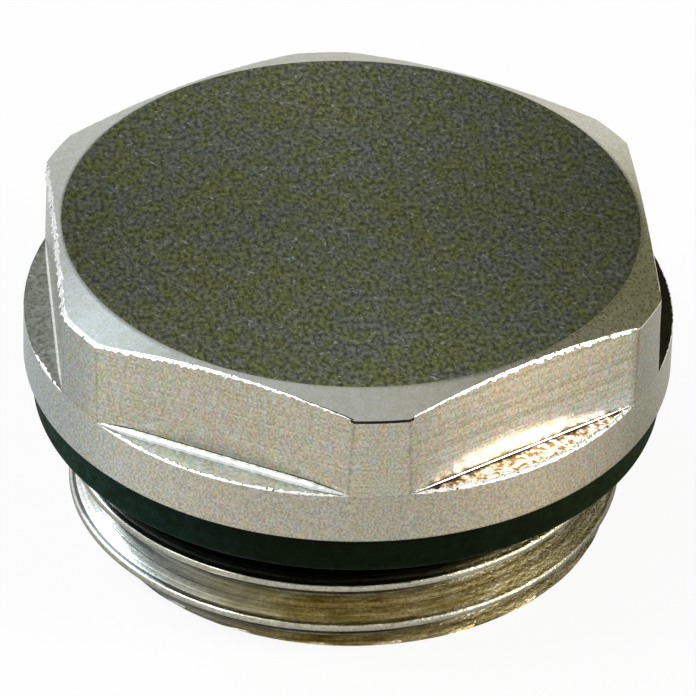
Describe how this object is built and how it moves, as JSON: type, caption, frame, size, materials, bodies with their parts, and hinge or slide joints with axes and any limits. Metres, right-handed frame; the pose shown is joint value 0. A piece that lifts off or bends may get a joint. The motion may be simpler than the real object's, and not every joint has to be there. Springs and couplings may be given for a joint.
{
  "type": "radiator blanking plug",
  "caption": "Nickel-plated brass blanking plug for a radiator tapping: round bar with milled flats and a flange, a flat rubber sealing ring and a short parallel pipe thread.",
  "frame": {"origin": "centre of the plug's footprint, at the end of the thread", "axes": "+Z along the plug's axis from the thread end to the top face; two of the flats face +X and -X, and two of the corner lands lie on the Y axis"},
  "size_m": [0.0242, 0.0242, 0.0127],
  "materials": {
    "nickel_brass": "satin nickel plate over brass, with turning and milling marks",
    "black_rubber": "matte black rubber"
  },
  "bodies": {
    "root": {"plug_body": "nickel_brass", "sealing_ring": "black_rubber"}
  },
  "joints": []
}
